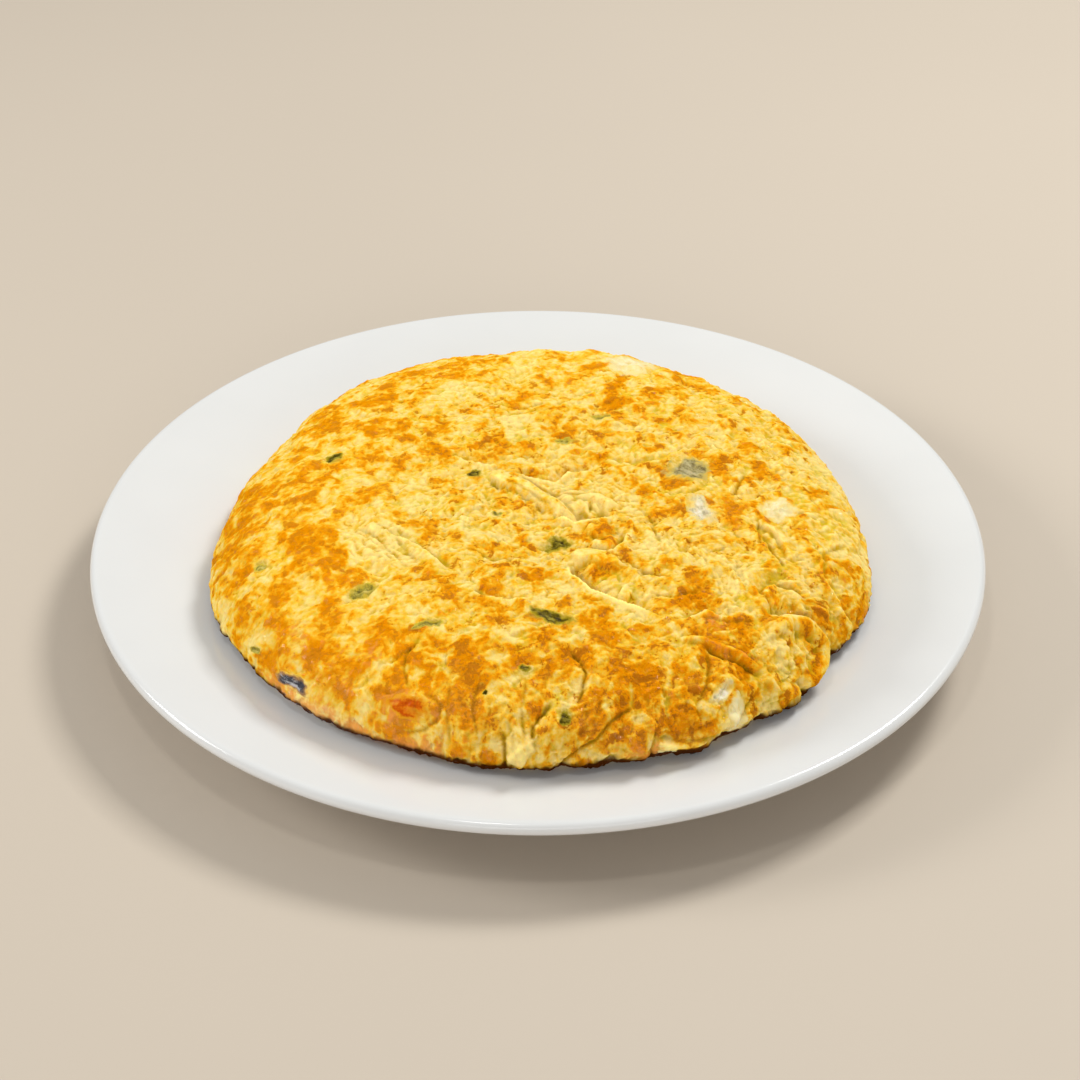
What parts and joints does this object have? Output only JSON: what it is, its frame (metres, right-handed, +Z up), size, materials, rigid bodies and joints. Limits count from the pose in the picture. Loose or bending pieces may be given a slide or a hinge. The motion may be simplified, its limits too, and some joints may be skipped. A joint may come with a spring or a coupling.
{
  "type": "spanish omelette on a plate",
  "caption": "Thick round potato omelette with a browned, folded skin and vegetable pieces, resting in the well of a white dinner plate.",
  "frame": {"origin": "centre of the plate's foot, on the surface that the plate stands on", "axes": "+Z up through the plate's axis; -Y towards the side that the picture was taken from, +X to its right"},
  "size_m": [0.27, 0.27, 0.0489],
  "materials": {
    "porcelain": null,
    "egg": "fried egg and potato, pale yellow in the hollows and browned on the raised places, slightly oily",
    "potato": "boiled or fried potato, moist",
    "onion": "cooked onion, glassy and moist",
    "pale_leek": "cooked leek, grey green",
    "dark_leek": "cooked leek, dark green",
    "skin": "vegetable skin, blue grey and shiny",
    "pepper": "cooked red pepper, orange red"
  },
  "bodies": {
    "root": {"plate": "porcelain", "omelette": "egg", "potato_back": "potato", "potato_right": "potato", "potato_front_right": "potato", "onion_right": "onion", "leek_right": "pale_leek", "leek_front_left": "pale_leek", "leek_centre": "dark_leek", "leek_front": "dark_leek", "onion_skin_left": "skin", "pepper_front_left": "pepper"}
  },
  "joints": []
}
